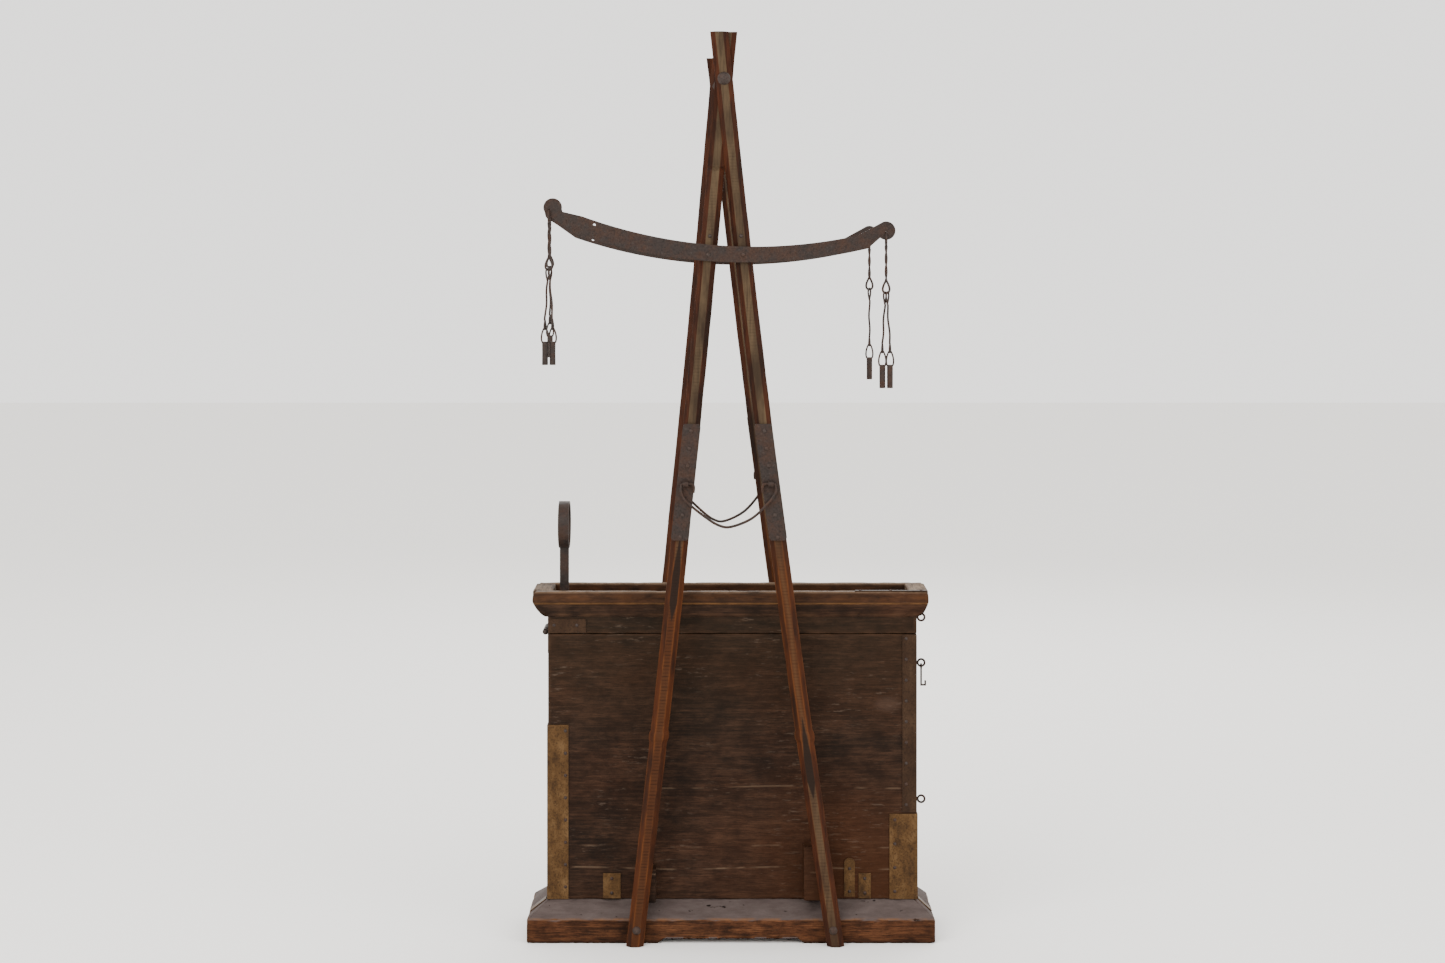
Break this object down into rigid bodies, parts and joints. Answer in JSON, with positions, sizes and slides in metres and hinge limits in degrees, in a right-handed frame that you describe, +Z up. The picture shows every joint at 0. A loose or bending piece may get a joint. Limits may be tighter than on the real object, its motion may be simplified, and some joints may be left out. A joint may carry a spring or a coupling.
{
  "type": "a-frame hanging rack with chest",
  "caption": "Narrow wooden chest with a tray lid, straddled by two tall timber A-frames that carry forged iron bows with hanging wire links and pendants.",
  "frame": {"origin": "on the ground, under the middle of the plinth", "axes": "+X to the right along the chest, -Y towards the front, +Z up"},
  "size_m": [0.533, 0.208, 1.188],
  "materials": {
    "dark_wood": "old dark stain, satin",
    "plinth_wood": "worn dark stain",
    "bare_wood": "bare worn wood",
    "pole_wood": "carved, red-brown sides and worn tan front",
    "old_brass": "dull, tarnished",
    "worn_iron": "worn forged iron",
    "forged_iron": "dark forged iron"
  },
  "bodies": {
    "chest": {"front_panel": "dark_wood", "rear_panel": "dark_wood", "side_walls": "dark_wood", "chest_floor": "dark_wood", "plinth_front": "plinth_wood", "plinth_rear": "plinth_wood", "plinth_ends": "plinth_wood", "plinth_straps": "old_brass", "body_hinge_leaf": "forged_iron", "hinge_pin": "worn_iron", "body_eyes": "forged_iron", "left_corner_strap": "old_brass", "right_corner_strap": "old_brass", "right_edge_strip": "forged_iron", "repair_plates": "old_brass", "body_tacks": "worn_iron", "pole_cleats": "dark_wood", "front_pole_right": "pole_wood", "front_pole_left": "pole_wood", "rear_pole_right": "pole_wood", "rear_pole_left": "pole_wood", "pole_bolts": "worn_iron", "splice_plates": "forged_iron", "frame_rivets": "worn_iron", "front_bow": "forged_iron", "rear_bow": "forged_iron"},
    "lid": {"frieze_front": "dark_wood", "frieze_rear": "dark_wood", "frieze_ends": "dark_wood", "cornice_front": "dark_wood", "cornice_rear": "dark_wood", "cornice_ends": "bare_wood", "tray_floor": "dark_wood", "lid_straps": "old_brass", "lid_tacks": "worn_iron", "loop_handle": "forged_iron", "handle_rivets": "worn_iron", "lid_hinge_leaf": "forged_iron", "lid_eye": "forged_iron"},
    "latch_hook": {"latch_hook": "forged_iron"},
    "front_bail": {"front_bail": "forged_iron"},
    "rear_bail": {"rear_bail": "forged_iron"},
    "upper_link_fl": {"upper_link_fl": "forged_iron"},
    "upper_link_fr": {"upper_link_fr": "forged_iron"},
    "upper_link_rl": {"upper_link_rl": "forged_iron"},
    "upper_link_rr": {"upper_link_rr": "forged_iron"},
    "lower_link_fl_a": {"lower_link_fl_a": "forged_iron"},
    "lower_link_fl_b": {"lower_link_fl_b": "forged_iron"},
    "lower_link_fr_a": {"lower_link_fr_a": "forged_iron"},
    "lower_link_fr_b": {"lower_link_fr_b": "forged_iron"},
    "lower_link_rl": {"lower_link_rl": "forged_iron"},
    "lower_link_rr": {"lower_link_rr": "forged_iron"},
    "pendant_fl_a": {"pendant_fl_a": "forged_iron"},
    "pendant_fl_b": {"pendant_fl_b": "forged_iron"},
    "pendant_fr_a": {"pendant_fr_a": "forged_iron"},
    "pendant_fr_b": {"pendant_fr_b": "forged_iron"},
    "pendant_rl": {"pendant_rl": "forged_iron"},
    "pendant_rr": {"pendant_rr": "forged_iron"}
  },
  "joints": [
    {"name": "lid_hinge", "type": "hinge", "parent": "chest", "child": "lid", "pos_m": [-0.245, 0, 0.3997], "axis": [0, -1, 0], "range_deg": [0, 95]},
    {"name": "latch_hook_swing", "type": "hinge", "parent": "chest", "child": "latch_hook", "pos_m": [0.2535, 0, 0.355], "axis": [0, 1, 0], "range_deg": [-100, 8]},
    {"name": "front_bail_swing", "type": "hinge", "parent": "chest", "child": "front_bail", "pos_m": [0, -0.0998, 0.6015], "axis": [-1, 0, 0], "range_deg": [0, 75]},
    {"name": "rear_bail_swing", "type": "hinge", "parent": "chest", "child": "rear_bail", "pos_m": [0, 0.0998, 0.6015], "axis": [1, 0, 0], "range_deg": [0, 75]},
    {"name": "upper_link_fl_swing", "type": "hinge", "parent": "chest", "child": "upper_link_fl", "pos_m": [-0.236, -0.095, 0.9565], "axis": [0, 1, 0], "range_deg": [-25, 25]},
    {"name": "lower_link_fl_a_swing", "type": "hinge", "parent": "upper_link_fl", "child": "lower_link_fl_a", "pos_m": [-0.2377, -0.095, 0.8785], "axis": [-1, 0, 0], "range_deg": [-10, 25]},
    {"name": "pendant_fl_a_swing", "type": "hinge", "parent": "lower_link_fl_a", "child": "pendant_fl_a", "pos_m": [-0.24092, -0.095, 0.8045], "axis": [-1, 0, 0], "range_deg": [-10, 25]},
    {"name": "lower_link_fl_b_swing", "type": "hinge", "parent": "upper_link_fl", "child": "lower_link_fl_b", "pos_m": [-0.2343, -0.095, 0.8785], "axis": [-1, 0, 0], "range_deg": [-10, 25]},
    {"name": "pendant_fl_b_swing", "type": "hinge", "parent": "lower_link_fl_b", "child": "pendant_fl_b", "pos_m": [-0.23108, -0.095, 0.8045], "axis": [-1, 0, 0], "range_deg": [-10, 25]},
    {"name": "upper_link_fr_swing", "type": "hinge", "parent": "chest", "child": "upper_link_fr", "pos_m": [0.201, -0.095, 0.9265], "axis": [0, 1, 0], "range_deg": [-25, 25]},
    {"name": "lower_link_fr_a_swing", "type": "hinge", "parent": "upper_link_fr", "child": "lower_link_fr_a", "pos_m": [0.1993, -0.095, 0.8485], "axis": [-1, 0, 0], "range_deg": [-10, 25]},
    {"name": "pendant_fr_a_swing", "type": "hinge", "parent": "lower_link_fr_a", "child": "pendant_fr_a", "pos_m": [0.19608, -0.095, 0.7745], "axis": [-1, 0, 0], "range_deg": [-10, 25]},
    {"name": "lower_link_fr_b_swing", "type": "hinge", "parent": "upper_link_fr", "child": "lower_link_fr_b", "pos_m": [0.2027, -0.095, 0.8485], "axis": [-1, 0, 0], "range_deg": [-10, 25]},
    {"name": "pendant_fr_b_swing", "type": "hinge", "parent": "lower_link_fr_b", "child": "pendant_fr_b", "pos_m": [0.20592, -0.095, 0.7745], "axis": [-1, 0, 0], "range_deg": [-10, 25]},
    {"name": "upper_link_rl_swing", "type": "hinge", "parent": "chest", "child": "upper_link_rl", "pos_m": [-0.247, 0.095, 0.9525], "axis": [0, 1, 0], "range_deg": [-25, 25]},
    {"name": "lower_link_rl_swing", "type": "hinge", "parent": "upper_link_rl", "child": "lower_link_rl", "pos_m": [-0.247, 0.095, 0.8805], "axis": [1, 0, 0], "range_deg": [-10, 25]},
    {"name": "pendant_rl_swing", "type": "hinge", "parent": "lower_link_rl", "child": "pendant_rl", "pos_m": [-0.247, 0.095, 0.8065], "axis": [1, 0, 0], "range_deg": [-10, 25]},
    {"name": "upper_link_rr_swing", "type": "hinge", "parent": "chest", "child": "upper_link_rr", "pos_m": [0.19, 0.095, 0.9225], "axis": [0, 1, 0], "range_deg": [-25, 25]},
    {"name": "lower_link_rr_swing", "type": "hinge", "parent": "upper_link_rr", "child": "lower_link_rr", "pos_m": [0.19, 0.095, 0.8505], "axis": [1, 0, 0], "range_deg": [-10, 25]},
    {"name": "pendant_rr_swing", "type": "hinge", "parent": "lower_link_rr", "child": "pendant_rr", "pos_m": [0.19, 0.095, 0.7765], "axis": [1, 0, 0], "range_deg": [-10, 25]}
  ]
}
